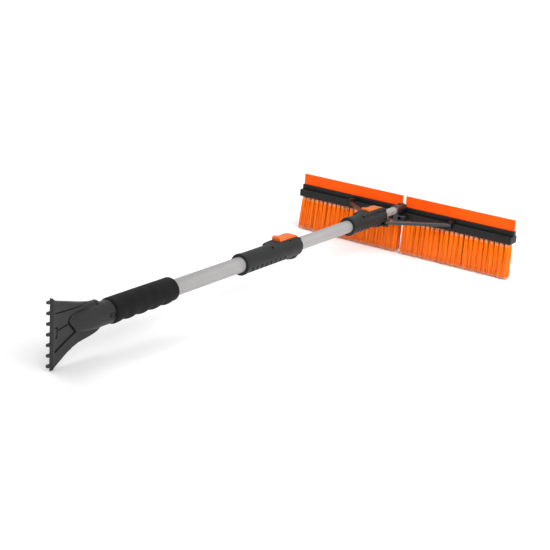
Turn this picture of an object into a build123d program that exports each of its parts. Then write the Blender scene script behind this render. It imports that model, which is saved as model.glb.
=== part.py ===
"""Telescopic snow brush and ice scraper, in millimetres.

+X runs along the pole towards the brush, +Z is up with the bristles hanging down, and the origin lies on the
plane of the bristle tips, under the middle of the object's length. "Height" is measured from the pole's axis.
"""

import os
from math import atan2, degrees

from build123d import *

os.makedirs("parts", exist_ok=True)

# ------------------------------------------------------------------ driving dimensions
overall_length = 962
brush_width = 460
pole_height = 89  # from the bristle tips up to the pole's axis
brush_front = 5  # the brush's front face, ahead of the brush line
brush_line = overall_length / 2 - brush_front

tube_wall = 1.2
outer_radius = 12.5
middle_radius = 11.0
inner_radius = 7.0
sliding_gap = 0.3
running_gap = 0.06

foam_radius = 19.2
pin_radius = 1.5
lever_angle_room = 1.0  # lengthwise room round a lever for its rocking


def behind(distance):
    """X of a point this far behind the brush line."""
    return brush_line - distance


def across(x):
    """A plane across the pole, facing the brush: local x is Y, local y is the height."""
    return Plane(origin=(x, 0, pole_height), x_dir=(0, 1, 0), z_dir=(1, 0, 0))


def side(y=0):
    """A plane along the pole seen from its right side: local x is X, local y is the height."""
    return Plane(origin=(0, y, pole_height), x_dir=(1, 0, 0), z_dir=(0, -1, 0))


def level(height):
    """A horizontal plane at a height over the pole's axis."""
    return Plane.XY.offset(pole_height + height)


def finish(piece, name):
    piece.part.label = name
    export_step(piece.part, f"parts/{name}.step")


def ring(rear, front, inner, outer):
    """A plain ring or tube round the pole's axis."""
    with BuildPart() as piece:
        with BuildSketch(across(rear)):
            Circle(outer)
            Circle(inner, mode=Mode.SUBTRACT)
        extrude(amount=front - rear)
    return piece


# ------------------------------------------------------------------ stations along the pole
tooth_tips = behind(957)
socket_front = behind(833)
foam_front = behind(697.5)
outer_rear = behind(866)
outer_front = behind(435)
outer_lock_rear = behind(529)
outer_lock_front = behind(375)
middle_rear = behind(665)
middle_front = behind(155)
inner_lock_rear = behind(209.5)
inner_lock_front = behind(95)
inner_rear = behind(400)
inner_front = behind(21)

# ------------------------------------------------------------------ scraper head
socket_radius = 17
# Each section of the blade: distance behind the brush line, height of its top and depth of its bottom
# under the axis, Y of its front face, thickness and corner radius.
blade_edge = (952.5, 51.8, 49.8, -11.0, 2.0, 0.8)
blade_sections = (
    (949, 50.0, 49.2, -12.8, 4.5, 1.8),
    (935, 42.4, 45.2, -9.8, 10.0, 4.6),
    (920, 37.4, 39.8, -7.8, 12.0, 5.6),
    (906, 33.0, 35.2, -6.2, 14.0, 6.6),
    (881, 25.4, 29.6, -5.0, 18.0, 8.6),
    (850, 20.0, 22.6, -5.0, 22.0, 10.2),
)
blade_wall = 3.4
tooth_count = 7
tooth_pitch = 14.7
tooth_size = (7, 4, 3.6)  # X, Y, Z
tooth_y = -9
tooth_middle = 1.5  # height of the middle tooth
groove_depth = 1.8
groove_width = 2.2
button_radius = 4.0
button_x = behind(840)
button_dish_radius = 6.2


def blade_section(distance, top, bottom, front_y, thickness, corner, inset=0):
    """Draws the blade's section, or the outline of its pocket that far inside it."""
    with BuildSketch(across(behind(distance))) as section:
        with Locations((front_y + thickness / 2 + inset, (top - bottom) / 2)):
            RectangleRounded(thickness, top + bottom - 2 * inset, max(corner - inset / 2, 0.8))
    return section.sketch


with BuildPart() as blade_body:
    loft([blade_section(*section) for section in blade_sections])
    loft([blade_section(*blade_edge), blade_section(*blade_sections[0])])

with BuildPart() as blade_pocket:
    loft([blade_section(*section, inset=blade_wall) for section in blade_sections[:-1]])
    with BuildSketch(side(-30)):  # stiffening ribs left standing in the pocket
        for far_end in (-26, 0, 26):
            with BuildLine():
                Line((behind(960), far_end), (behind(870), far_end / 3))
            trace(line_width=2.4)
    extrude(amount=-60, mode=Mode.SUBTRACT)

with BuildPart() as socket_body:
    with BuildSketch(across(behind(864))):
        Circle(socket_radius)
    extrude(amount=socket_front - behind(864))
    with BuildSketch(across(behind(864))):
        Circle(socket_radius)
    with BuildSketch(across(behind(886))):
        with Locations((0, 0.6)):
            Ellipse(13.6, 16.6)
    with BuildSketch(across(behind(918))):
        with Locations((2.2, 3)):
            Ellipse(9.6, 14.8)
    loft()
    with BuildSketch(side(-30)):  # the socket ends in a shallow arrow head on the blade
        Polygon((behind(820), 25), (behind(820), -25), (behind(893), -25), (behind(901), -10),
                (behind(914), 6), (behind(914), 10), (behind(905), 18), (behind(893), 25), align=None)
    extrude(amount=-60, mode=Mode.INTERSECT)
    rim = socket_body.faces().sort_by(Axis.X)[-1].edges()
    chamfer(rim, 0.8)


def groove(points, width=groove_width):
    """A shallow groove in the blade's front face, drawn in side view."""
    with BuildPart() as cutter:
        with BuildSketch(side(-30)):
            with BuildLine():
                Polyline(*[(behind(distance), height) for distance, height in points])
            trace(line_width=width)
        extrude(amount=-60)
        add(blade_body.part.moved(Location((0, groove_depth, 0))), mode=Mode.SUBTRACT)
    return cutter.part


with BuildPart() as scraper_head:
    add(blade_body)
    add(groove(((946, 28.5), (908, 24.5), (875, 23.5))), mode=Mode.SUBTRACT)
    add(groove(((938, 3.5), (914, 6))), mode=Mode.SUBTRACT)
    add(groove(((946, -25), (902, -9.5)), 2 * groove_width), mode=Mode.SUBTRACT)
    add(groove(((945, 8), (940, 7.5), (941, -6), (945, -6))), mode=Mode.SUBTRACT)
    add(groove(((900, -11), (916, 6), (916, 11), (905, 18))), mode=Mode.SUBTRACT)
    add(groove(((907, 17), (886, 18.4), (856, 18.4)), 2.4 * groove_width), mode=Mode.SUBTRACT)
    add(groove(((948, -46.5), (935, -42.2), (920, -37), (906, -32.4), (881, -26.6), (856, -20.5)), 4.8),
        mode=Mode.SUBTRACT)
    add(blade_pocket, mode=Mode.SUBTRACT)
    add(socket_body)
    with Locations(*[
        (tooth_tips + tooth_size[0] / 2, tooth_y,
         pole_height + tooth_middle + (number - (tooth_count - 1) / 2) * tooth_pitch)
        for number in range(tooth_count)
    ]):
        Box(*tooth_size)
    with BuildSketch(across(outer_rear)):
        Circle(outer_radius)
    extrude(amount=socket_front - outer_rear + 1, mode=Mode.SUBTRACT)
    with BuildSketch(side(0)):  # hole for the snap button, with a finger dish round it
        with Locations((button_x, 0)):
            Circle(button_radius)
    extrude(amount=30, mode=Mode.SUBTRACT)
    with BuildSketch(side(-socket_radius + 1.4)):
        with Locations((button_x, 0)):
            Circle(button_dish_radius)
    extrude(amount=10, mode=Mode.SUBTRACT)
finish(scraper_head, "scraper_head")

# ------------------------------------------------------------------ snap button and its spring
button_flange_y = -(outer_radius - tube_wall) + 1.6
with BuildPart() as snap_button:
    with BuildSketch(side(button_flange_y)):
        with Locations((button_x, 0)):
            Circle(button_radius - 0.2)
    extrude(amount=socket_radius - 0.3 + button_flange_y)
    fillet(snap_button.faces().sort_by(Axis.Y)[0].edges(), 1.2)
    with BuildSketch(side(button_flange_y)):
        with Locations((button_x, 0)):
            Circle(button_radius + 1.0)
    extrude(amount=-1.2)
finish(snap_button, "scraper_snap_button")

spring_strip = 0.8
spring_far_y = outer_radius - tube_wall - 2.2
with BuildPart() as snap_spring:  # a leaf bent into a V that pushes the button out
    with BuildSketch(level(-3)):
        with BuildLine():
            Polyline(
                (button_x - 4, button_flange_y + 1.2 + spring_strip / 2 + 0.1),
                (button_x + 5, button_flange_y + 1.2 + spring_strip / 2 + 0.1),
                (button_x + 22, 0),
                (button_x + 5, spring_far_y),
                (button_x - 4, spring_far_y),
            )
        trace(line_width=spring_strip)
    extrude(amount=6)
finish(snap_spring, "snap_button_spring")

# ------------------------------------------------------------------ foam grip
foam_length = foam_front - socket_front
with BuildPart() as foam_grip:
    with BuildSketch(across(socket_front + 0.2)):
        Circle(foam_radius)
        Circle(outer_radius + 0.1, mode=Mode.SUBTRACT)
    extrude(amount=foam_length)
    fillet(foam_grip.edges().filter_by(GeomType.CIRCLE).sort_by(Axis.X)[-2:].sort_by(SortBy.RADIUS)[-1], 4)
finish(foam_grip, "foam_grip")

# ------------------------------------------------------------------ the three tubes
outer_tube = ring(outer_rear, outer_front, outer_radius - tube_wall, outer_radius)
with BuildPart() as outer_tube_drilled:
    add(outer_tube)
    with BuildSketch(side(0)):
        with Locations((button_x, 0)):
            Circle(button_radius)
    extrude(amount=20, mode=Mode.SUBTRACT)
finish(outer_tube_drilled, "outer_tube")
finish(ring(middle_rear, middle_front, middle_radius - tube_wall, middle_radius), "middle_tube")


def rear_bush(tube_rear, tube_radius, bore_radius):
    """A plastic bush plugged into a tube's rear end, which slides in the tube around it."""
    flange = 5
    plug = 14
    with BuildPart() as bush:
        with BuildSketch(across(tube_rear - flange)):
            Circle(bore_radius - running_gap)
            Circle(tube_radius - tube_wall - 2.2, mode=Mode.SUBTRACT)
        extrude(amount=flange)
        with BuildSketch(across(tube_rear)):
            Circle(tube_radius - tube_wall)
            Circle(tube_radius - tube_wall - 2.2, mode=Mode.SUBTRACT)
        extrude(amount=plug)
        chamfer(bush.edges().filter_by(GeomType.CIRCLE).sort_by(Axis.X)[:2].sort_by(SortBy.RADIUS)[-1], 1)
    return bush


finish(rear_bush(middle_rear, middle_radius, outer_radius - tube_wall), "middle_tube_rear_bush")
finish(rear_bush(inner_rear, inner_radius, middle_radius - tube_wall), "inner_tube_rear_bush")

# ------------------------------------------------------------------ telescope locks
# Each lock is a housing fixed on the front of one tube. Its lever rocks on a cross pin. At rest a spring
# under the thumb end keeps the lever's nose on a brake shoe, and the shoe grips the next tube in.
cheek_inside = 8.8
cheek_outside = 11.8
shoulder_radius = 4.5
lever_half_width = 8.4
lever_length = 52
shoe_half_width = 5.5
shoe_length = 12
bush_length = 9
bush_flange = 3
grip_grooves = 8


class Lock:
    """The sizes of one lock, all along X or as heights over the pole's axis."""

    def __init__(self, rear, front, tube, next_tube, sleeve, lever_rear, crown, lever_stand, rib_pitch, screw_x):
        self.rear = rear
        self.front = front
        self.tube = tube  # radius of the tube that the housing is fixed to
        self.next_tube = next_tube  # radius of the tube that slides in it
        self.sleeve = sleeve  # outside radius of the housing's sleeve
        self.lever_rear = lever_rear
        self.lever_front = lever_rear + lever_length
        self.crown = crown  # top of the lever's thumb end
        self.cheek_top = crown - lever_stand
        self.rib_pitch = rib_pitch
        self.floor = tube + 1.3
        self.pivot_x = lever_rear + lever_length / 2
        self.pivot_height = self.floor + 3.2
        self.shoe_x = self.pivot_x + 16
        self.shoe_top = tube + 2.1
        self.spring_x = lever_rear + 11
        self.screw_x = screw_x
        self.screw_height = -next_tube - sliding_gap - 3.2


outer_lock = Lock(outer_lock_rear, outer_lock_front, outer_radius, middle_radius, 16.9,
                  behind(433), 26.5, 7.0, 12.6, behind(389))
inner_lock = Lock(inner_lock_rear, inner_lock_front, middle_radius, inner_radius, 16.0,
                  behind(153), 23.4, 4.4, 10.2, behind(122))


def raised_back(lock):
    """The rounded back over the sleeve that carries the lever."""
    with BuildPart() as back:
        with BuildSketch(side()):
            with BuildLine():
                Polyline(
                    (lock.front, 0),
                    (lock.front, lock.cheek_top - 8),
                    (lock.front - 1.6, lock.cheek_top - 4),
                    (lock.front - 4, lock.cheek_top - 2),
                    (lock.lever_front - 6, lock.cheek_top - 0.8),
                    (lock.pivot_x, lock.cheek_top),
                    (lock.lever_rear - 2.5, lock.cheek_top),
                    (lock.lever_rear - 6, lock.cheek_top - 1),
                    (lock.lever_rear - 20, lock.sleeve - 0.6),
                    (lock.lever_rear - 20, 0),
                    close=True,
                )
            make_face()
        extrude(amount=cheek_outside, both=True)
        with BuildSketch(across(lock.rear)):
            with Locations((0, lock.cheek_top)):
                Rectangle(2 * cheek_outside, 2 * lock.cheek_top, align=(Align.CENTER, Align.MAX))
            fillet(vertices().group_by(Axis.Z)[-1], shoulder_radius)
        extrude(amount=lock.front - lock.rear, mode=Mode.INTERSECT)
    return back


def lock_housing(lock):
    with BuildPart() as housing:
        with BuildSketch(across(lock.rear)):
            Circle(lock.sleeve)
        extrude(amount=lock.front - lock.rear)
        fillet(housing.faces().sort_by(Axis.X)[-1].edges(), 2)
        with BuildSketch(across(lock.rear)):  # rim at the rear mouth
            Circle(lock.sleeve + 0.8)
        extrude(amount=4)
        add(raised_back(lock))
        with BuildSketch(side()):  # finger stop under the front
            with BuildLine():
                Polyline(
                    (lock.front - 2, -6),
                    (lock.front - 2, -lock.sleeve + 1),
                    (lock.front - 9, -lock.sleeve - 1.6),
                    (lock.front - 18, -lock.sleeve - 1.6),
                    (lock.front - 32, -lock.sleeve + 0.5),
                    (lock.front - 32, -6),
                    close=True,
                )
            make_face()
        extrude(amount=8, both=True)
        for number in range(grip_grooves):  # slanted finger grooves underneath
            groove_x = lock.rear + 13 + number * lock.rib_pitch
            grip = Plane(origin=(groove_x, 0, pole_height), x_dir=(0, 1, 0), z_dir=(1, 0, 0.32))
            with BuildSketch(grip):
                Circle(lock.sleeve + 8)
                Circle(lock.sleeve - 2.0, mode=Mode.SUBTRACT)
                with Locations((0, -lock.sleeve * 0.25)):
                    Rectangle(4 * lock.sleeve, 4 * lock.sleeve, align=(Align.CENTER, Align.MIN),
                              mode=Mode.SUBTRACT)
            extrude(amount=1.8, both=True, mode=Mode.SUBTRACT)
        with BuildSketch(side()):  # pocket for the lever
            Polygon(
                (lock.lever_rear - lever_angle_room, lock.crown + 9),
                (lock.lever_rear - lever_angle_room, lock.floor),
                (lock.lever_front + lever_angle_room, lock.floor),
                (lock.lever_front + lever_angle_room, lock.crown + 9),
                align=None,
            )
        extrude(amount=cheek_inside, both=True, mode=Mode.SUBTRACT)
        with BuildSketch(level(0)):  # window for the brake shoe
            with Locations((lock.shoe_x, 0)):
                Rectangle(shoe_length + 0.5, 2 * shoe_half_width + 0.5)
        extrude(amount=lock.floor + 2, mode=Mode.SUBTRACT)
        with BuildSketch(across(lock.rear)):
            Circle(lock.tube)
        extrude(amount=tube_end(lock) - lock.rear, mode=Mode.SUBTRACT)
        with BuildSketch(across(lock.rear)):
            Circle(lock.next_tube + sliding_gap)
        extrude(amount=lock.front - lock.rear, mode=Mode.SUBTRACT)
        with BuildSketch(across(lock.front - bush_length)):  # counterbore for the front bush
            Circle(lock.next_tube + 1.8)
        extrude(amount=bush_length, mode=Mode.SUBTRACT)
        with BuildSketch(side()):  # pivot pin hole
            with Locations((lock.pivot_x, lock.pivot_height)):
                Circle(pin_radius)
        extrude(amount=20, both=True, mode=Mode.SUBTRACT)
        with BuildSketch(side()):  # clamp screw hole
            with Locations((lock.screw_x, lock.screw_height)):
                Circle(1.5)
        extrude(amount=20, both=True, mode=Mode.SUBTRACT)
        with BuildSketch(side(-5.5)):
            with Locations((lock.screw_x, lock.screw_height)):
                Circle(2.9)
        extrude(amount=20, mode=Mode.SUBTRACT)
    return housing


def tube_end(lock):
    return outer_front if lock is outer_lock else middle_front


def lock_lever(lock):
    with BuildPart() as lever:
        with BuildSketch(side()):
            with BuildLine():
                Spline(
                    (lock.lever_rear + 0.5, lock.crown - 2.4),
                    (lock.lever_rear + 3, lock.crown),
                    (lock.lever_rear + 8, lock.crown - 0.8),
                    (lock.lever_rear + 17, lock.crown - 2.7),
                    (lock.lever_rear + 30, lock.crown - 2.6),
                    (lock.lever_rear + 42, lock.crown - 3.4),
                    (lock.lever_front - 3, lock.crown - 5.4),
                    (lock.lever_front, lock.crown - 7.6),
                )
                Polyline(
                    (lock.lever_front, lock.crown - 7.6),
                    (lock.lever_front - 1, lock.shoe_top + 1.6),
                    (lock.shoe_x + 5, lock.shoe_top + 0.15),
                    (lock.shoe_x - 5, lock.shoe_top + 0.15),
                    (lock.pivot_x + 5, lock.pivot_height - 2.2),
                    (lock.pivot_x - 4, lock.pivot_height - 2.2),
                    (lock.pivot_x - 10, lock.floor + 3.6),
                    (lock.lever_rear + 1, lock.floor + 4.4),
                    (lock.lever_rear + 0.5, lock.crown - 2.4),
                )
            make_face()
            with Locations((lock.pivot_x, lock.pivot_height)):
                Circle(pin_radius + running_gap, mode=Mode.SUBTRACT)
        extrude(amount=lever_half_width, both=True)
        with BuildSketch(level(lock.floor + 3)):  # seat for the spring
            with Locations((lock.spring_x, 0)):
                Circle(3.6)
        extrude(amount=4, mode=Mode.SUBTRACT)
        crown_edges = lever.edges().filter_by(lambda edge: edge.center().Z > pole_height + lock.crown - 7)
        crown_edges = crown_edges.filter_by(lambda edge: abs(edge.center().Y) > lever_half_width - 0.1)
        fillet(crown_edges.filter_by(GeomType.BSPLINE), 1.2)
    return lever


def pivot_pin(lock):
    with BuildPart() as pin:
        with BuildSketch(side()):
            with Locations((lock.pivot_x, lock.pivot_height)):
                Circle(pin_radius)
        extrude(amount=cheek_outside - 1.8, both=True)
    return pin


def lever_spring(lock):
    """A short compression spring between the pocket's floor and the lever."""
    wire = 0.35
    bottom = lock.floor + 0.1 + wire
    height = 5.6
    with BuildPart() as spring:
        with BuildLine(Plane(origin=(lock.spring_x, 0, pole_height + bottom))) as coil:
            Helix(pitch=1.4, height=height, radius=2.4)
        with BuildSketch(Plane(origin=coil.line @ 0, z_dir=coil.line % 0)):
            Circle(wire)
        sweep()
    return spring


def brake_shoe(lock):
    with BuildPart() as shoe:
        with BuildSketch(level(0)):
            with Locations((lock.shoe_x, 0)):
                Rectangle(shoe_length, 2 * shoe_half_width)
        extrude(amount=lock.shoe_top)
        with BuildSketch(across(lock.shoe_x - shoe_length)):
            Circle(lock.next_tube + 0.1)
        extrude(amount=2 * shoe_length, mode=Mode.SUBTRACT)
    return shoe


def front_bush(lock):
    with BuildPart() as bush:
        with BuildSketch(across(lock.front - bush_length)):
            Circle(lock.next_tube + 1.8)
        extrude(amount=bush_length)
        with BuildSketch(across(lock.front)):
            Circle(lock.next_tube + 4.2)
        extrude(amount=bush_flange)
        chamfer(bush.edges().filter_by(GeomType.CIRCLE).sort_by(Axis.X)[-1], 1)
        with BuildSketch(across(lock.front - bush_length)):
            Circle(lock.next_tube + running_gap)
        extrude(amount=bush_length + bush_flange, mode=Mode.SUBTRACT)
    return bush


def clamp_screw(lock):
    with BuildPart() as screw:
        with BuildSketch(side(-5.5)):
            with Locations((lock.screw_x, lock.screw_height)):
                Circle(2.7)
        extrude(amount=1.6)
        with BuildSketch(side(-7.1)):
            with Locations((lock.screw_x, lock.screw_height)):
                RegularPolygon(1.3, 6)
        extrude(amount=-1.1, mode=Mode.SUBTRACT)
        with BuildSketch(side(-5.5)):
            with Locations((lock.screw_x, lock.screw_height)):
                Circle(1.45)
        extrude(amount=-13)
    return screw


finish(lock_housing(outer_lock), "outer_lock_housing")
for lock, name in ((outer_lock, "outer_lock"), (inner_lock, "inner_lock")):
    finish(lock_lever(lock), f"{name}_lever")
    finish(pivot_pin(lock), f"{name}_pivot_pin")
    finish(lever_spring(lock), f"{name}_spring")
    finish(brake_shoe(lock), f"{name}_brake_shoe")
    finish(front_bush(lock), f"{name}_front_bush")
    finish(clamp_screw(lock), f"{name}_screw")

# ------------------------------------------------------------------ brush hub and linkage
# The halves hinge on two upright pins in the hub. Each strut is pinned to its half's bar at one end, and its
# other end sits between two ears of the inner lock, so the halves fold back as the inner tube slides out.
hinge_x = behind(30)
hinge_y = 12
strut_pin_x = behind(24)
strut_pin_y = 108
strut_root_x = behind(101)
strut_root_y = 17
strut_height = -9.6
strut_tall = 6.4
strut_wide = 6.4
ear_tall = 2.6
ear_gap = 0.2
rivet_radius = 2.8
rivet_head = 1.4
upper_ear = strut_height + strut_tall / 2 + ear_gap  # underside of the ears over the struts
lower_ear = strut_height - strut_tall / 2 - ear_gap - ear_tall  # underside of the ears below the struts
knuckle_height = -15.5
knuckle_tall = 6
knuckle_radius = 5.5
hinge_pin_radius = 2.5
split_half = 3.5
bar_bottom = -22
bar_top = -8

with BuildPart() as inner_lock_housing:
    add(lock_housing(inner_lock))
    for bottom in (lower_ear, upper_ear):
        with BuildSketch(level(bottom)):  # ears above and below each strut's end
            for sign in (-1, 1):
                with Locations((strut_root_x, sign * strut_root_y)):
                    Circle(4.6)
            with Locations((strut_root_x - 2, 0)):
                Trapezoid(2 * strut_root_y, 14, 60, rotation=90)
            with Locations((strut_root_x - 2, 0)):
                Rectangle(12, 2 * strut_root_y)
        extrude(amount=ear_tall)
    with BuildSketch(across(inner_lock.rear)):
        Circle(inner_lock.next_tube + sliding_gap)
    extrude(amount=inner_lock.front - inner_lock.rear, mode=Mode.SUBTRACT)
    with BuildSketch(across(inner_lock.front - bush_length)):
        Circle(inner_lock.next_tube + 1.8)
    extrude(amount=bush_length, mode=Mode.SUBTRACT)
    with BuildSketch(level(strut_height)):  # pockets beside the sleeve where the struts swing
        for sign in (-1, 1):
            with Locations((strut_root_x - 5.5, sign * (strut_root_y - strut_wide / 2 - 0.4))):
                Rectangle(40, 20, align=(Align.MIN, Align.MIN if sign > 0 else Align.MAX))
    extrude(amount=strut_tall / 2 + ear_gap, both=True, mode=Mode.SUBTRACT)
    with BuildSketch(level(upper_ear + ear_tall)):  # room beside the sleeve for the upper rivets' heads
        for sign in (-1, 1):
            with Locations((strut_root_x, sign * strut_root_y)):
                Circle(rivet_radius + 0.4)
    extrude(amount=10, mode=Mode.SUBTRACT)
finish(inner_lock_housing, "inner_lock_housing")

with BuildPart() as ear_rivets:  # a domed rivet on the upper and lower ear of each side
    for sign in (-1, 1):
        with BuildSketch(level(upper_ear + ear_tall)):
            with Locations((strut_root_x, sign * strut_root_y)):
                Circle(rivet_radius)
        extrude(amount=rivet_head)
        with BuildSketch(level(lower_ear)):
            with Locations((strut_root_x, sign * strut_root_y)):
                Circle(rivet_radius)
        extrude(amount=-rivet_head)
finish(ear_rivets, "strut_root_rivets")

hub_plates = (  # bottom height and thickness of the two plates that hold the hinge pins
    (knuckle_height - knuckle_tall / 2 - ear_gap - ear_tall, ear_tall),
    (knuckle_height + knuckle_tall / 2 + ear_gap, ear_tall),
)
hub_sleeve_radius = 9
hub_rear = behind(46)
hub_front = behind(20.6)
hub_nose = behind(11.6)
hub_rivet_x = behind(25.5)
hub_rivet_radius = 1.6
hub_rivet_foot = -5  # height of its lower end, inside the spigot
with BuildPart() as brush_hub:
    with BuildSketch(across(hub_rear)):
        Circle(hub_sleeve_radius)
    extrude(amount=hub_front - hub_rear)
    chamfer(brush_hub.faces().sort_by(Axis.X)[0].edges(), 1)
    with BuildSketch(level(hub_plates[0][0])):  # centre web between the halves' knuckles
        with Locations((hinge_x, 0)):
            Rectangle(14, 10)
    extrude(amount=-hub_plates[0][0])
    for bottom, thickness in hub_plates:
        with BuildSketch(level(bottom)):
            with Locations((hinge_x, 0)):
                SlotCenterToCenter(2 * hinge_y, 13, rotation=90)
        extrude(amount=thickness)
    with BuildSketch(across(hub_rear)):
        Circle(inner_radius)
    extrude(amount=inner_front - hub_rear, mode=Mode.SUBTRACT)
    with BuildSketch(across(behind(62))):  # spigot inside the tube
        Circle(inner_radius - tube_wall)
    extrude(amount=hub_front - behind(62))
    with BuildSketch(across(inner_front)):
        Circle(hub_sleeve_radius)
    extrude(amount=hub_front - inner_front)
    with BuildSketch(across(hub_front)):  # nose over the bars
        Circle(hub_sleeve_radius)
        with Locations((0, bar_top + 0.6)):
            Rectangle(4 * hub_sleeve_radius, 2 * hub_sleeve_radius, align=(Align.CENTER, Align.MAX),
                      mode=Mode.SUBTRACT)
    extrude(amount=hub_nose - hub_front)
    for sign in (-1, 1):
        with BuildSketch(level(-30)):
            with Locations((hinge_x, sign * hinge_y)):
                Circle(hinge_pin_radius)
        extrude(amount=25, mode=Mode.SUBTRACT)
    with BuildSketch(level(hub_rivet_foot)):
        with Locations((hub_rivet_x, 0)):
            Circle(hub_rivet_radius)
    extrude(amount=20, mode=Mode.SUBTRACT)
finish(brush_hub, "brush_hub")

with BuildPart() as inner_tube_drilled:
    add(ring(inner_rear, inner_front, inner_radius - tube_wall, inner_radius))
    with BuildSketch(level(0)):
        with Locations((hub_rivet_x, 0)):
            Circle(hub_rivet_radius)
    extrude(amount=20, mode=Mode.SUBTRACT)
finish(inner_tube_drilled, "inner_tube")

with BuildPart() as hub_rivet:
    with BuildSketch(level(hub_rivet_foot)):
        with Locations((hub_rivet_x, 0)):
            Circle(hub_rivet_radius)
    extrude(amount=hub_sleeve_radius - hub_rivet_foot)
    with BuildSketch(level(hub_sleeve_radius)):
        with Locations((hub_rivet_x, 0)):
            Circle(rivet_radius)
    extrude(amount=1.0)
finish(hub_rivet, "hub_rivet")

with BuildPart() as hinge_pins:
    for sign in (-1, 1):
        with BuildSketch(level(hub_plates[0][0])):
            with Locations((hinge_x, sign * hinge_y)):
                Circle(hinge_pin_radius)
        extrude(amount=hub_plates[1][0] + ear_tall - hub_plates[0][0])
        with BuildSketch(level(hub_plates[1][0] + ear_tall)):
            with Locations((hinge_x, sign * hinge_y)):
                Circle(3.4)
        extrude(amount=1)
        with BuildSketch(level(hub_plates[0][0])):
            with Locations((hinge_x, sign * hinge_y)):
                Circle(3.4)
        extrude(amount=-1)
finish(hinge_pins, "hub_hinge_pins")

# ------------------------------------------------------------------ brush halves
bar_rear = behind(20)
bar_front = behind(-brush_front)
spine_rear = behind(11)
spine_front = behind(1)
spine_top = 1
bar_end = brush_width / 2 - 4
squeegee_x = behind(6)
squeegee_thickness = 2.4
squeegee_top = 21.5
squeegee_end = 228.5
bristle_root = bar_bottom - 0.2
bristle_tip = -pole_height

with BuildPart() as right_bar:
    with BuildSketch(side(-split_half)):
        with Locations(((bar_rear + bar_front) / 2, (bar_bottom + bar_top) / 2)):
            RectangleRounded(bar_front - bar_rear, bar_top - bar_bottom, 2)
        with Locations(((spine_rear + spine_front) / 2, (bar_top + spine_top) / 2 - 1)):
            Rectangle(spine_front - spine_rear, spine_top - bar_top + 2)
    extrude(amount=bar_end - split_half)
    fillet(right_bar.edges().filter_by(Axis.Y).group_by(Axis.Z)[-1], 1.2)
    with BuildSketch(side(-split_half)):  # groove that holds the squeegee's root
        with Locations((squeegee_x, spine_top - 2.5)):
            Rectangle(squeegee_thickness, 5)
    extrude(amount=bar_end - split_half, mode=Mode.SUBTRACT)
    with BuildSketch(level(knuckle_height - knuckle_tall / 2)):  # hinge knuckle
        with Locations((hinge_x, -hinge_y)):
            Circle(knuckle_radius)
        with Locations((hinge_x, -hinge_y)):
            Rectangle(bar_rear - hinge_x + 2, 2 * knuckle_radius, align=(Align.MIN, Align.CENTER))
    extrude(amount=knuckle_tall)
    for bottom in (lower_ear, upper_ear):
        with BuildSketch(level(bottom)):  # clevis for the strut
            with Locations((strut_pin_x, -strut_pin_y)):
                Circle(4.5)
                Rectangle(spine_rear + 1 - strut_pin_x, 9, align=(Align.MIN, Align.CENTER))
        extrude(amount=ear_tall)
    with BuildSketch(level(bar_top - 1)):  # post under the upper ear
        with Locations((bar_rear + 0.5, -strut_pin_y)):
            Rectangle(spine_rear + 1 - bar_rear, 9, align=(Align.MIN, Align.CENTER))
    extrude(amount=upper_ear + ear_tall - bar_top + 1)
    with BuildSketch(level(-40)):
        with Locations((strut_pin_x, -strut_pin_y)):
            Circle(2)
        with Locations((hinge_x, -hinge_y)):
            Circle(hinge_pin_radius + running_gap)
    extrude(amount=40, mode=Mode.SUBTRACT)

with BuildPart() as right_end_cap:
    with BuildSketch(side(-bar_end)):
        with Locations(((bar_rear + bar_front) / 2, (bar_bottom + bar_top) / 2)):
            RectangleRounded(bar_front - bar_rear, bar_top - bar_bottom, 2)
        with Locations(((spine_rear + spine_front) / 2, (bar_top + spine_top) / 2 - 1)):
            Rectangle(spine_front - spine_rear, spine_top - bar_top + 2)
    extrude(amount=4)
    fillet(right_end_cap.faces().sort_by(Axis.Y)[0].edges(), 1.5)

with BuildPart() as right_squeegee:  # its root sits in the bar, and its blade runs on over the end cap
    with BuildSketch(side(-split_half)):
        with Locations((squeegee_x, spine_top - 2.5)):
            Rectangle(squeegee_thickness, 5)
    extrude(amount=bar_end - split_half)
    with BuildSketch(side(-split_half)):
        with Locations((squeegee_x, (squeegee_top + spine_top) / 2)):
            Rectangle(squeegee_thickness, squeegee_top - spine_top)
    extrude(amount=squeegee_end - split_half)

with BuildPart() as right_bristles:
    with BuildSketch(level(bristle_root)):
        with Locations((behind(7.5), -(bar_end + 4) / 2 - 2)):
            Rectangle(20, bar_end - 4)
    with BuildSketch(level(bristle_tip)):
        with Locations((behind(7.5), -(bar_end + 4) / 2 - 5)):
            Rectangle(25, bar_end + 3)
    loft()

with BuildPart() as right_strut_pin:
    with BuildSketch(level(lower_ear)):
        with Locations((strut_pin_x, -strut_pin_y)):
            Circle(2)
    extrude(amount=upper_ear + ear_tall - lower_ear)
    with BuildSketch(level(upper_ear + ear_tall)):
        with Locations((strut_pin_x, -strut_pin_y)):
            Circle(3.2)
    extrude(amount=1.2)
    with BuildSketch(level(lower_ear)):
        with Locations((strut_pin_x, -strut_pin_y)):
            Circle(3.2)
    extrude(amount=-1.2)

strut_start = Vector(strut_root_x, -strut_root_y)
strut_end = Vector(strut_pin_x, -strut_pin_y)
strut_run = strut_end - strut_start
strut_angle = degrees(atan2(strut_run.Y, strut_run.X))
with BuildPart() as right_strut:
    with BuildSketch(level(strut_height - strut_tall / 2)):
        with Locations(Location((strut_start + strut_end) * 0.5, (0, 0, strut_angle))):
            SlotCenterToCenter(strut_run.length, strut_wide)
    extrude(amount=strut_tall)
    fillet(right_strut.faces().sort_by(Axis.Z)[-1].edges(), 1.2)
    fillet(right_strut.faces().sort_by(Axis.Z)[0].edges(), 1.2)
    with BuildSketch(level(strut_height)):
        with Locations((strut_pin_x, -strut_pin_y)):
            Circle(2 + running_gap)
    extrude(amount=strut_tall, both=True, mode=Mode.SUBTRACT)

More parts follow.
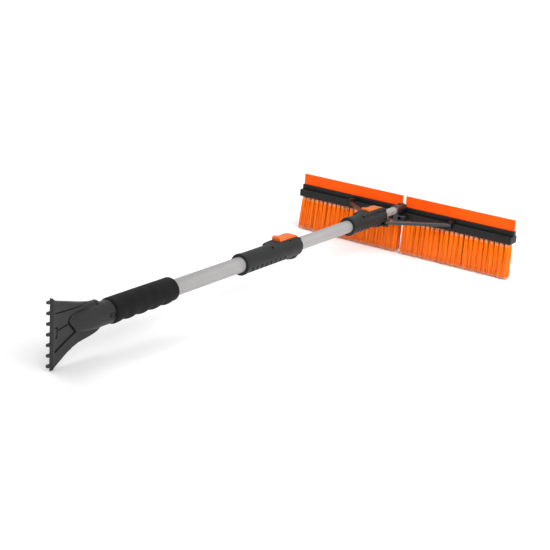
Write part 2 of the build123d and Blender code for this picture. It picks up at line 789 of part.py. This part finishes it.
right_pieces = {
    "bar": right_bar,
    "end_cap": right_end_cap,
    "squeegee": right_squeegee,
    "bristles": right_bristles,
    "strut_pin": right_strut_pin,
    "strut": right_strut,
}
for piece_name, right_piece in right_pieces.items():
    finish(right_piece, f"right_{piece_name}")
    with BuildPart() as left_piece:
        mirror(right_piece.part, about=Plane.XZ)
    finish(left_piece, f"left_{piece_name}")
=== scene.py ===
"""The looks of the telescopic snow brush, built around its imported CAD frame.

Metres, in the CAD's frame: the pole lies along X with the brush at +X, and Z is up.
"""

import math

import bmesh
import bpy
import numpy as np
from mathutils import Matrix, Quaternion, Vector, noise


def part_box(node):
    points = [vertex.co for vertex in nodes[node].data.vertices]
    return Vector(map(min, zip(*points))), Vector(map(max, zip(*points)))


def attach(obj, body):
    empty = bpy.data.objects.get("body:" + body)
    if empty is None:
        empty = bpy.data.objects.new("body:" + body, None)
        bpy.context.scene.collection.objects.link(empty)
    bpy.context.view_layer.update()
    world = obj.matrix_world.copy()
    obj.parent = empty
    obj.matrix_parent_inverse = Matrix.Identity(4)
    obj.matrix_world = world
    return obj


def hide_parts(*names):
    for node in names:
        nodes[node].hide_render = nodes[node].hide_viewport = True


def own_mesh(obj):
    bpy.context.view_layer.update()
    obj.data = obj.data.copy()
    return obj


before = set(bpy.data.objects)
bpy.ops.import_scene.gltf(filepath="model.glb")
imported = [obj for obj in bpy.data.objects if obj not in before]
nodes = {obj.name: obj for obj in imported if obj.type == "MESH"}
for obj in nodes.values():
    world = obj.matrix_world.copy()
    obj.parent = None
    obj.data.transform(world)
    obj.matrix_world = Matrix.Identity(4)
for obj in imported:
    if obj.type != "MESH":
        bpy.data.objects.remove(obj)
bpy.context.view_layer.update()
MM = 0.001


# ------------------------------------------------------------------ material helpers
def new_material(name):
    """A node material, its node tree and its Principled shader."""
    material = bpy.data.materials.new(name)
    material.use_nodes = True
    tree = material.node_tree
    return material, tree, tree.nodes["Principled BSDF"]


def link(tree, source, target):
    """Joins an output socket to an input socket."""
    tree.links.new(source, target)


def mapped(tree, stretch=(1, 1, 1)):
    """Object coordinates, scaled along each axis."""
    coordinates = tree.nodes.new("ShaderNodeTexCoord")
    mapping = tree.nodes.new("ShaderNodeMapping")
    mapping.inputs["Scale"].default_value = stretch
    link(tree, coordinates.outputs["Object"], mapping.inputs["Vector"])
    return mapping.outputs["Vector"]


def noise_field(tree, scale, stretch=(1, 1, 1), detail=3.0):
    """Soft noise, from 0 to 1. A larger stretch along an axis gives finer noise along it."""
    texture = tree.nodes.new("ShaderNodeTexNoise")
    texture.inputs["Scale"].default_value = scale
    texture.inputs["Detail"].default_value = detail
    texture.inputs["Roughness"].default_value = 0.55
    link(tree, mapped(tree, stretch), texture.inputs["Vector"])
    return texture.outputs["Fac"]


def cells(tree, scale):
    """The distance to the middle of the nearest cell."""
    texture = tree.nodes.new("ShaderNodeTexVoronoi")
    texture.inputs["Scale"].default_value = scale
    link(tree, mapped(tree), texture.inputs["Vector"])
    return texture.outputs["Distance"]


def ramp(tree, source, stops):
    """A colour ramp. Each stop is a position and a grey level or a colour."""
    node = tree.nodes.new("ShaderNodeValToRGB")
    while len(node.color_ramp.elements) < len(stops):
        node.color_ramp.elements.new(0.5)
    for element, (position, value) in zip(node.color_ramp.elements, stops):
        element.position = position
        colour = (value, value, value) if isinstance(value, (int, float)) else value
        element.color = (*colour, 1)
    link(tree, source, node.inputs["Fac"])
    return node.outputs["Color"]


def mix(tree, factor, low, high, blend="MIX"):
    """A colour mix. low and high are colours or sockets."""
    node = tree.nodes.new("ShaderNodeMix")
    node.data_type = "RGBA"
    node.blend_type = blend
    if isinstance(factor, (int, float)):
        node.inputs["Factor"].default_value = factor
    else:
        link(tree, factor, node.inputs["Factor"])
    for socket, value in (("A", low), ("B", high)):
        target = [s for s in node.inputs if s.name == socket and s.type == "RGBA"][0]
        if isinstance(value, tuple):
            target.default_value = (*value, 1)
        else:
            link(tree, value, target)
    return [s for s in node.outputs if s.type == "RGBA"][0]


def add_bump(tree, shader, fields):
    """Chains bumps into the shader's normal. Each is a height field, its strength and its depth in metres."""
    normal = None
    for height, strength, distance in fields:
        bump = tree.nodes.new("ShaderNodeBump")
        bump.inputs["Strength"].default_value = strength
        bump.inputs["Distance"].default_value = distance
        link(tree, height, bump.inputs["Height"])
        if normal is not None:
            link(tree, normal, bump.inputs["Normal"])
        normal = bump.outputs["Normal"]
    link(tree, normal, shader.inputs["Normal"])


def painted_shade_mask(tree, reach):
    """White in grooves and corners, where the colour is darkened as painted shade."""
    cavity = tree.nodes.new("ShaderNodeAmbientOcclusion")
    cavity.samples = 6
    cavity.inputs["Distance"].default_value = reach
    return ramp(tree, cavity.outputs["AO"], ((0.35, 0.95), (0.9, 0.0)))


def edge_mask(tree, radius):
    """White along sharp edges, where a part is rubbed first."""
    bevel = tree.nodes.new("ShaderNodeBevel")
    bevel.samples = 4
    bevel.inputs["Radius"].default_value = radius
    geometry = tree.nodes.new("ShaderNodeNewGeometry")
    dot = tree.nodes.new("ShaderNodeVectorMath")
    dot.operation = "DOT_PRODUCT"
    link(tree, bevel.outputs["Normal"], dot.inputs[0])
    link(tree, geometry.outputs["Normal"], dot.inputs[1])
    return ramp(tree, dot.outputs["Value"], ((0.72, 1.0), (0.97, 0.0)))


def shade(colour, factor):
    """A colour made darker or paler."""
    return tuple(min(1.0, channel * factor) for channel in colour)


# ------------------------------------------------------------------ materials
def moulded(name, colour, roughness=0.45, grain=900, grain_depth=0.00006, wear=1.9, specular=0.4):
    """Injection-moulded plastic: spark grain, slow colour drift, scuffs, painted shade in grooves and
    corners, and rubbed edges.
    """
    painted_shade_reach = 4 * MM
    edge_width = 1.2 * MM
    material, tree, shader = new_material(name)
    drift = ramp(tree, noise_field(tree, 22, detail=4), ((0.3, 0.0), (0.7, 1.0)))
    body = mix(tree, drift, shade(colour, 0.86), shade(colour, 1.14))
    scuff = ramp(tree, noise_field(tree, 55, (1, 6, 6), detail=6), ((0.60, 0.0), (0.72, 1.0)))
    body = mix(tree, mix(tree, scuff, (0.0, 0.0, 0.0), (0.35, 0.35, 0.35)), body, shade(colour, 1.35))
    # Painted shade: grooves and corners darken to a quarter of the colour, by ambient occlusion.
    body = mix(tree, painted_shade_mask(tree, painted_shade_reach), body, shade(colour, 0.25))
    rubbed = mix(tree, edge_mask(tree, edge_width), (0.0, 0.0, 0.0), (0.55, 0.55, 0.55))
    body = mix(tree, rubbed, body, shade(colour, wear))
    link(tree, body, shader.inputs["Base Color"])
    smear = noise_field(tree, 140, detail=4)
    rough = ramp(tree, smear, ((0.25, roughness - 0.08), (0.75, roughness + 0.1)))
    link(tree, rough, shader.inputs["Roughness"])
    shader.inputs["Specular IOR Level"].default_value = specular
    add_bump(tree, shader, ((noise_field(tree, grain, detail=2), 0.35, grain_depth),
                            (noise_field(tree, 60, detail=3), 0.12, 0.0004)))
    return material


def anodised(name, colour):
    """Matt anodised tube: drawing lines along its length and a faint bloom."""
    material, tree, shader = new_material(name)
    lines = noise_field(tree, 1, (6, 2600, 2600), detail=3)
    bloom = noise_field(tree, 16, detail=4)
    streaks = ramp(tree, lines, ((0.3, 0.0), (0.7, 1.0)))
    body = mix(tree, streaks, shade(colour, 0.93), shade(colour, 1.05))
    body = mix(tree, ramp(tree, bloom, ((0.35, 0.0), (0.75, 0.5))), body, shade(colour, 0.88))
    link(tree, body, shader.inputs["Base Color"])
    shader.inputs["Metallic"].default_value = 0.55
    rough = ramp(tree, lines, ((0.2, 0.50), (0.8, 0.62)))
    link(tree, rough, shader.inputs["Roughness"])
    shader.inputs["Anisotropic"].default_value = 0.4
    add_bump(tree, shader, ((lines, 0.25, 0.00003),))
    return material


def bright_steel(name, colour=(0.42, 0.42, 0.42), roughness=0.32):
    """Drawn steel wire or pin stock, streaked and slightly uneven in gloss."""
    material, tree, shader = new_material(name)
    streak = noise_field(tree, 700, (1, 1, 4), detail=3)
    streaks = ramp(tree, streak, ((0.3, 0.0), (0.7, 1.0)))
    body = mix(tree, streaks, shade(colour, 0.8), shade(colour, 1.15))
    link(tree, body, shader.inputs["Base Color"])
    shader.inputs["Metallic"].default_value = 1.0
    rough = ramp(tree, streak, ((0.2, roughness - 0.06), (0.8, roughness + 0.12)))
    link(tree, rough, shader.inputs["Roughness"])
    add_bump(tree, shader, ((streak, 0.2, 0.00003),))
    return material


def foam_material():
    """Closed-cell foam: open pits at the skin, darkened with painted shade, a dusty bloom and no gloss."""
    material, tree, shader = new_material("foam_black")
    pits = cells(tree, 1500)
    drift = noise_field(tree, 60, detail=4)
    bloom = ramp(tree, drift, ((0.3, 0.0), (0.75, 1.0)))
    body = mix(tree, bloom, (0.0065, 0.0063, 0.0062), (0.012, 0.0116, 0.0113))
    # Painted shade: the pits are darker than the skin around them.
    body = mix(tree, ramp(tree, pits, ((0.05, 0.9), (0.35, 0.0))), body, (0.003, 0.003, 0.003))
    link(tree, body, shader.inputs["Base Color"])
    shader.inputs["Roughness"].default_value = 0.95
    shader.inputs["Specular IOR Level"].default_value = 0.06
    shader.inputs["Sheen Weight"].default_value = 0.05
    shader.inputs["Sheen Roughness"].default_value = 0.6
    add_bump(tree, shader, ((pits, 0.8, 0.0003), (noise_field(tree, 2600, detail=2), 0.5, 0.00015)))
    return material


def squeegee_material():
    """Flexible orange strip: smooth, slightly translucent, with faint drag marks along its length."""
    material, tree, shader = new_material("squeegee_orange")
    drift = noise_field(tree, 14, detail=3)
    tint = ramp(tree, drift, ((0.3, 0.0), (0.7, 1.0)))
    body = mix(tree, tint, (0.90, 0.072, 0.001), (0.96, 0.096, 0.0015))
    drag = noise_field(tree, 1, (900, 12, 700), detail=3)
    body = mix(tree, ramp(tree, drag, ((0.62, 0.0), (0.8, 0.2))), body, (0.97, 0.14, 0.008))
    link(tree, body, shader.inputs["Base Color"])
    rough = ramp(tree, drag, ((0.3, 0.5), (0.7, 0.64)))
    link(tree, rough, shader.inputs["Roughness"])
    shader.inputs["Specular IOR Level"].default_value = 0.1
    shader.inputs["Subsurface Weight"].default_value = 0.15
    shader.inputs["Subsurface Radius"].default_value = (0.003, 0.0008, 0.0003)
    add_bump(tree, shader, ((drag, 0.2, 0.00008), (noise_field(tree, 35, detail=2), 0.15, 0.0006)))
    return material


def bristle_material(low_z, high_z):
    """Orange filaments: each its own tint, paler and pinker near the roots and near the tips."""
    material, tree, shader = new_material("bristle_orange")
    strand = noise_field(tree, 1, (900, 900, 4), detail=2)
    tint = ramp(tree, strand, ((0.32, 0.0), (0.68, 1.0)))
    body = mix(tree, tint, (1.0, 0.155, 0.002), (1.0, 0.245, 0.005))
    coordinates = tree.nodes.new("ShaderNodeTexCoord")
    split = tree.nodes.new("ShaderNodeSeparateXYZ")
    link(tree, coordinates.outputs["Object"], split.inputs["Vector"])
    along = tree.nodes.new("ShaderNodeMapRange")
    along.inputs["From Min"].default_value = low_z
    along.inputs["From Max"].default_value = high_z
    link(tree, split.outputs["Z"], along.inputs["Value"])
    pale = ramp(tree, along.outputs["Result"], ((0.0, 0.85), (0.12, 0.1), (0.88, 0.0), (0.98, 0.9)))
    body = mix(tree, pale, body, (1.0, 0.46, 0.27))
    link(tree, body, shader.inputs["Base Color"])
    shader.inputs["Roughness"].default_value = 0.5
    shader.inputs["Specular IOR Level"].default_value = 0.06
    add_bump(tree, shader, ((strand, 0.15, 0.00005),))
    return material


# ------------------------------------------------------------------ bristles
def bristle_half(name, side, material):
    """One half's tufts: filaments rooted in round holes under the bar, fanning out towards the tips."""
    seed = 11 if side > 0 else 12
    random = np.random.default_rng(seed)
    low, high = (Vector(corner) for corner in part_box(f"{name}_bristles"))
    root_depth = 1 * MM
    root_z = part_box(f"{name}_bar")[0][2] + root_depth
    row_middle = (low.x + high.x) / 2
    rows = 3
    row_pitch = 6.6 * MM
    tuft_count = 22
    first, last = 8.6 * MM, 221 * MM  # distance of the first and last tuft from the middle of the brush
    tuft_radius = 3.4 * MM
    tip_spread = np.array([3.6, 5.6]) * MM
    outer_lean = 3.2 * MM  # how far the outermost tuft's tips lean outwards
    rake = 3 * MM  # how far the tips are swept back towards the handle
    tuft_wander = 0.35 * MM
    tip_wander = 0.6 * MM
    tip_margin = 0.6 * MM
    half_gap = 1.6 * MM  # each half keeps its tips this far from the middle of the brush
    per_tuft = 52
    fibre_radius = 0.36 * MM
    steps = 7
    sides = 4
    along = np.linspace(0, 1, steps)
    fan = along ** 0.72  # a filament bends away from its root more than near its tip
    taper = np.linspace(1.0, 0.75, steps)
    points = []
    radii = []
    for row in range(rows):
        for tuft in range(tuft_count):
            centre_x = row_middle + (row - (rows - 1) / 2) * row_pitch
            centre_y = first + (last - first) * tuft / (tuft_count - 1)
            lean = (tuft / (tuft_count - 1)) ** 2 * outer_lean
            tuft_lean = random.normal(0, tuft_wander, 2)
            for _ in range(per_tuft):
                angle = random.uniform(0, 2 * math.pi)
                reach = math.sqrt(random.uniform(0, 1))
                offset = np.array([math.cos(angle), math.sin(angle)]) * reach
                root = np.array([centre_x, centre_y]) + offset * tuft_radius
                tip = np.array([centre_x, centre_y + lean]) + tip_spread * offset + tuft_lean
                tip += random.normal(0, tip_wander, 2)
                tip[0] = min(max(tip[0], low.x + tip_margin), high.x - tip_margin) - rake
                tip[1] = max(tip[1], half_gap)
                tip_z = low.z + random.gamma(2.4, 1.3 * MM)
                phase = random.uniform(0, 2 * math.pi)
                path = np.empty((steps, 3))
                path[:, :2] = root + (tip - root) * fan[:, None]
                path[:, 0] += np.sin(along * 15 + phase) * 0.22 * MM * along  # crimp
                path[:, 1] += np.cos(along * 13 + phase) * 0.2 * MM * along
                path[:, 2] = root_z + (tip_z - root_z) * along
                path[:, 1] *= side
                points.append(path)
                radii.append(fibre_radius * random.uniform(0.8, 1.2) * taper)
    points = np.array(points)
    radii = np.array(radii)
    count = len(points)
    turn = np.arange(sides) * 2 * math.pi / sides
    circle = np.stack([np.cos(turn), np.sin(turn), np.zeros(sides)], axis=1)
    vertices = points[:, :, None, :] + radii[:, :, None, None] * circle[None, None, :, :]
    per_fibre = steps * sides
    faces = []
    for step in range(steps - 1):
        for corner in range(sides):
            nxt = (corner + 1) % sides
            faces.append((step * sides + corner, (step + 1) * sides + corner,
                          (step + 1) * sides + nxt, step * sides + nxt))
    faces.append(tuple(range(sides)))
    faces.append(tuple(range(per_fibre - 1, per_fibre - sides - 1, -1)))
    faces = np.array(faces)
    all_faces = (faces[None, :, :] + (np.arange(count) * per_fibre)[:, None, None]).reshape(-1, sides)
    mesh = bpy.data.meshes.new(f"{name}_tufts")
    mesh.from_pydata(vertices.reshape(-1, 3).tolist(), [], all_faces.tolist())
    bristles = bpy.data.objects.new(f"{name}_tufts", mesh)
    bpy.context.collection.objects.link(bristles)
    mesh.materials.append(material)
    for polygon in mesh.polygons:
        polygon.use_smooth = True
    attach(bristles, f"{name}_brush")
    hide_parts(f"{name}_bristles")


# ------------------------------------------------------------------ foam grip
def foam_grip(material):
    """The foam sleeve: rolled ends, finger scallops underneath and an uneven skin."""
    low, high = (Vector(corner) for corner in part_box("foam_grip"))
    axis_z = (low.z + high.z) / 2
    outside = (high.z - low.z) / 2
    bore = 12.62 * MM
    around = 168
    along = 190
    lip = 7  # rings across the wall at each end
    end_roll = 4.5 * MM
    scallop_pitch = 26.8 * MM
    first_notch = 22 * MM
    first_scallop_fade = 14 * MM
    scallop_depth = 3.6 * MM
    skin_inset = 0.2 * MM
    length = high.x - low.x
    # Each ring is a distance along the grip and how much of the wall stands there, from bore to bore.
    rear_lip = [(0.0, (number + 1) / (lip + 1)) for number in range(lip)]
    outer_skin = [(length * number / along, 1.0) for number in range(along + 1)]
    front_lip = [(length, 1 - (number + 1) / lip) for number in range(lip)]
    rings = rear_lip + outer_skin + front_lip
    mesh = bpy.data.meshes.new("foam_grip_cells")
    work = bmesh.new()
    loops = []
    for x, wall in rings:
        ring = []
        for number in range(around):
            angle = 2 * math.pi * number / around
            down = max(0.0, -math.cos(angle))  # 1 underneath the grip
            end = min(x, length - x)
            rolled = 0.0
            if end < end_roll:
                rolled = end_roll - math.sqrt(max(0.0, end_roll ** 2 - (end_roll - end) ** 2))
            notch = 1 - abs(math.sin(math.pi * (x - first_notch) / scallop_pitch)) ** 0.8
            notch *= min(1.0, x / first_scallop_fade)
            skin = Vector((x * 60, math.sin(angle) * 1.1, math.cos(angle) * 1.1))
            skin_noise = noise.noise(skin) * 0.16 * MM + noise.noise(skin * 7) * 0.09 * MM
            radius = outside - rolled - scallop_depth * notch * down ** 1.3 - skin_inset + skin_noise
            radius = bore + (radius - bore) * wall
            across, up = radius * math.sin(angle), radius * math.cos(angle)
            ring.append(work.verts.new((low.x + x, across, axis_z + up)))
        loops.append(ring)
    for first, second in zip(loops, loops[1:] + loops[:1]):  # the last ring joins the first through the bore
        for number in range(around):
            nxt = (number + 1) % around
            work.faces.new((first[number], first[nxt], second[nxt], second[number]))
    bmesh.ops.recalc_face_normals(work, faces=work.faces)
    work.to_mesh(mesh)
    work.free()
    grip = bpy.data.objects.new("foam_grip_cells", mesh)
    bpy.context.collection.objects.link(grip)
    mesh.materials.append(material)
    for polygon in mesh.polygons:
        polygon.use_smooth = True
    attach(grip, "handle")
    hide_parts("foam_grip")


# ------------------------------------------------------------------ springs
def swept(name, rings, material):
    """A spring made of a skin through rings of points, capped at both ends."""
    work = bmesh.new()
    loops = [[work.verts.new(point) for point in ring] for ring in rings]
    for first, second in zip(loops, loops[1:]):
        for number in range(len(first)):
            nxt = (number + 1) % len(first)
            work.faces.new((first[number], first[nxt], second[nxt], second[number]))
    work.faces.new(loops[0][::-1])
    work.faces.new(loops[-1])
    bmesh.ops.recalc_face_normals(work, faces=work.faces)
    mesh = bpy.data.meshes.new(name)
    work.to_mesh(mesh)
    work.free()
    for polygon in mesh.polygons:
        polygon.use_smooth = len(polygon.vertices) == 4
    mesh.materials.append(material)
    spring = bpy.data.objects.new(name, mesh)
    bpy.context.collection.objects.link(spring)
    return spring


def coil_spring(lock_name, body, material):
    """The compression spring under a lock's lever."""
    low, high = (Vector(corner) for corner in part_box(f"{lock_name}_spring"))
    wire = 0.35 * MM
    turns = 4
    steps = turns * 20
    wire_sides = 8
    middle = (low + high) / 2
    radius = (high.x - low.x) / 2 - wire
    rise = high.z - low.z - 2 * wire
    climb = rise / (2 * math.pi * turns * radius)  # how much the wire rises for its run
    rings = []
    for step in range(steps + 1):
        angle = 2 * math.pi * turns * step / steps
        outward = Vector((math.cos(angle), math.sin(angle), 0))
        tangent = Vector((-math.sin(angle), math.cos(angle), climb)).normalized()
        across = tangent.cross(outward)
        centre = Vector((middle.x, middle.y, low.z + wire + rise * step / steps)) + outward * radius
        rings.append([centre + (outward * math.cos(turn) + across * math.sin(turn)) * wire
                      for turn in (2 * math.pi * side / wire_sides for side in range(wire_sides))])
    spring = swept(f"{lock_name}_coil", rings, material)
    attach(spring, body)
    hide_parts(f"{lock_name}_spring")
    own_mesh(spring)


def leaf_spring(material):
    """The bent leaf behind the snap button."""
    low, high = (Vector(corner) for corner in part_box("snap_button_spring"))
    half_strip = 0.4 * MM
    arm_length = 9 * MM
    bend_reach = 26 * MM
    bend = Vector((low.x + bend_reach, 0))
    near, far = low.y + half_strip, high.y - half_strip
    path = [Vector((low.x, near)), Vector((low.x + arm_length, near)), bend,
            Vector((low.x + arm_length, far)), Vector((low.x, far))]
    for _ in range(3):  # cut the corners until the bends are round
        cut = [path[0]]
        for first, second in zip(path, path[1:]):
            cut += [first.lerp(second, 0.25), first.lerp(second, 0.75)]
        path = cut + [path[-1]]
    rings = []
    for number, point in enumerate(path):
        along = (path[min(number + 1, len(path) - 1)] - path[max(number - 1, 0)]).normalized()
        side = Vector((-along.y, along.x)) * half_strip
        rings.append([(point.x + side.x * way, point.y + side.y * way, height)
                      for way, height in ((1, low.z), (1, high.z), (-1, high.z), (-1, low.z))])
    spring = swept("snap_button_leaf", rings, material)
    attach(spring, "handle")
    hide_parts("snap_button_spring")
    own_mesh(spring)


# ------------------------------------------------------------------ dress the CAD nodes
def dress(material, *names):
    """Gives each CAD node its material."""
    for name in names:
        data = nodes[name].data
        data.materials.clear()
        data.materials.append(material)


housing = moulded("housing_plastic", (0.0175, 0.0182, 0.0182), roughness=0.5, specular=0.18)
frame_plastic = moulded("brush_frame_plastic", (0.0085, 0.0092, 0.009), roughness=0.42, specular=0.2)
scraper = moulded("scraper_plastic", (0.0205, 0.0205, 0.021), roughness=0.46, grain_depth=0.00009,
                  specular=0.26)
strut_plastic = moulded("strut_plastic", (0.0095, 0.010, 0.0098), roughness=0.27, specular=0.6)
bush = moulded("bush_plastic", (0.010, 0.010, 0.010), roughness=0.38, specular=0.2)
lever = moulded("lever_orange", (0.58, 0.115, 0.012), roughness=0.4, wear=1.15, grain=1200, specular=0.2)
tube = anodised("tube_anodised", (0.375, 0.366, 0.365))
steel = bright_steel("spring_steel")
black_steel = bright_steel("pin_steel", (0.05, 0.05, 0.05), 0.4)
squeegee = squeegee_material()

dress(scraper, "scraper_head")
dress(bush, "scraper_snap_button", "outer_lock_front_bush", "inner_lock_front_bush", "middle_tube_rear_bush",
      "inner_tube_rear_bush", "outer_lock_brake_shoe", "inner_lock_brake_shoe")
dress(housing, "outer_lock_housing", "inner_lock_housing")
dress(lever, "outer_lock_lever", "inner_lock_lever")
dress(tube, "outer_tube", "middle_tube", "inner_tube")
dress(frame_plastic, *[f"{side}_{part}" for side in ("left", "right") for part in ("bar", "end_cap")])
dress(strut_plastic, "brush_hub", "left_strut", "right_strut")
dress(squeegee, "left_squeegee", "right_squeegee")
dress(black_steel, "outer_lock_pivot_pin", "inner_lock_pivot_pin", "outer_lock_screw", "inner_lock_screw",
      "hub_rivet", "hub_hinge_pins", "strut_root_rivets", "left_strut_pin", "right_strut_pin")

bristle_low, bristle_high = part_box("left_bristles")
bristle = bristle_material(bristle_low[2], bristle_high[2])
for side_name, side_sign in (("left", 1), ("right", -1)):
    bristle_half(side_name, side_sign, bristle)
foam_grip(foam_material())
coil_spring("outer_lock", "handle", steel)
coil_spring("inner_lock", "middle", steel)
leaf_spring(steel)


# ------------------------------------------------------------------ floor, light and camera
def pale_floor():
    """A pale floor that touches the bristle tips and the scraper's lowest corner, and rises far away."""
    scraper_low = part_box("scraper_head")[0]
    tips_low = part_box("left_bristles")[0]
    slope = (scraper_low[2] - tips_low[2]) / (tips_low[0] - scraper_low[0])
    half = 30
    flat_reach = 4
    far_rise = 0.004
    gap = 0.3 * MM
    mesh = bpy.data.meshes.new("floor")
    work = bmesh.new()
    bmesh.ops.create_grid(work, x_segments=60, y_segments=60, size=half)
    for vertex in work.verts:
        beyond = max(0.0, math.hypot(vertex.co.x, vertex.co.y) - flat_reach)
        vertex.co.z = -slope * (vertex.co.x - tips_low[0]) - gap + far_rise * beyond ** 2
    work.to_mesh(mesh)
    work.free()
    floor = bpy.data.objects.new("floor", mesh)
    bpy.context.collection.objects.link(floor)
    material, tree, shader = new_material("floor_paper")
    tone = ramp(tree, noise_field(tree, 3, detail=3), ((0.3, 0.94), (0.7, 0.955)))
    link(tree, tone, shader.inputs["Base Color"])
    shader.inputs["Roughness"].default_value = 0.9
    shader.inputs["Specular IOR Level"].default_value = 0.1
    mesh.materials.append(material)


def soft_sun(name, azimuth, elevation, strength, softness):
    """A large, even light. Azimuth is where it stands, turning from +X towards +Y."""
    data = bpy.data.lights.new(name, "SUN")
    data.energy = strength
    data.angle = math.radians(softness)
    light = bpy.data.objects.new(name, data)
    a, e = math.radians(azimuth), math.radians(elevation)
    towards = Vector((math.cos(e) * math.cos(a), math.cos(e) * math.sin(a), math.sin(e)))
    light.rotation_euler = towards.to_track_quat("Z", "Y").to_euler()
    bpy.context.collection.objects.link(light)


def soft_box(name, place, target, power, size, spread):
    """A square soft box with a honeycomb grid. It stands at a place and faces a target."""
    data = bpy.data.lights.new(name, "AREA")
    data.energy = power
    data.size = size
    data.spread = math.radians(spread)
    light = bpy.data.objects.new(name, data)
    light.location = place
    light.rotation_euler = (Vector(place) - Vector(target)).to_track_quat("Z", "Y").to_euler()
    bpy.context.collection.objects.link(light)


def studio():
    """White surroundings, a key light over the far side, a front light and a soft box for the brush."""
    world = bpy.data.worlds.new("studio")
    bpy.context.scene.world = world
    world.use_nodes = True
    background = world.node_tree.nodes["Background"]
    background.inputs["Color"].default_value = (1.0, 1.0, 1.0, 1)
    background.inputs["Strength"].default_value = 0.8
    soft_sun("key_light", 78, 54, 0.52, 22)
    soft_sun("front_light", 235, 30, 1.2, 60)
    brush = Vector(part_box("brush_hub")[0])
    soft_box("brush_light", brush + Vector((-0.45, -0.8, 0.8)), brush, 2.3, 0.8, 80)


def camera():
    """The viewing angle: from behind and to the right of the scraper, a little above the pole."""
    data = bpy.data.cameras.new("camera")
    data.lens = 80.6
    data.sensor_width = 36
    holder = bpy.data.objects.new("camera", data)
    heading = math.radians(34.075)
    pitch = math.radians(-18.02)
    roll = math.radians(3.887)
    look = Vector((math.cos(pitch) * math.cos(heading), math.cos(pitch) * math.sin(heading), math.sin(pitch)))
    turn = look.to_track_quat("-Z", "Y") @ Quaternion((0, 0, 1), roll)
    holder.location = (-1.5476, -1.079, 0.6755)
    holder.rotation_euler = turn.to_euler()
    bpy.context.collection.objects.link(holder)
    bpy.context.scene.camera = holder


pale_floor()
studio()
camera()
bpy.context.scene.view_settings.view_transform = "Standard"
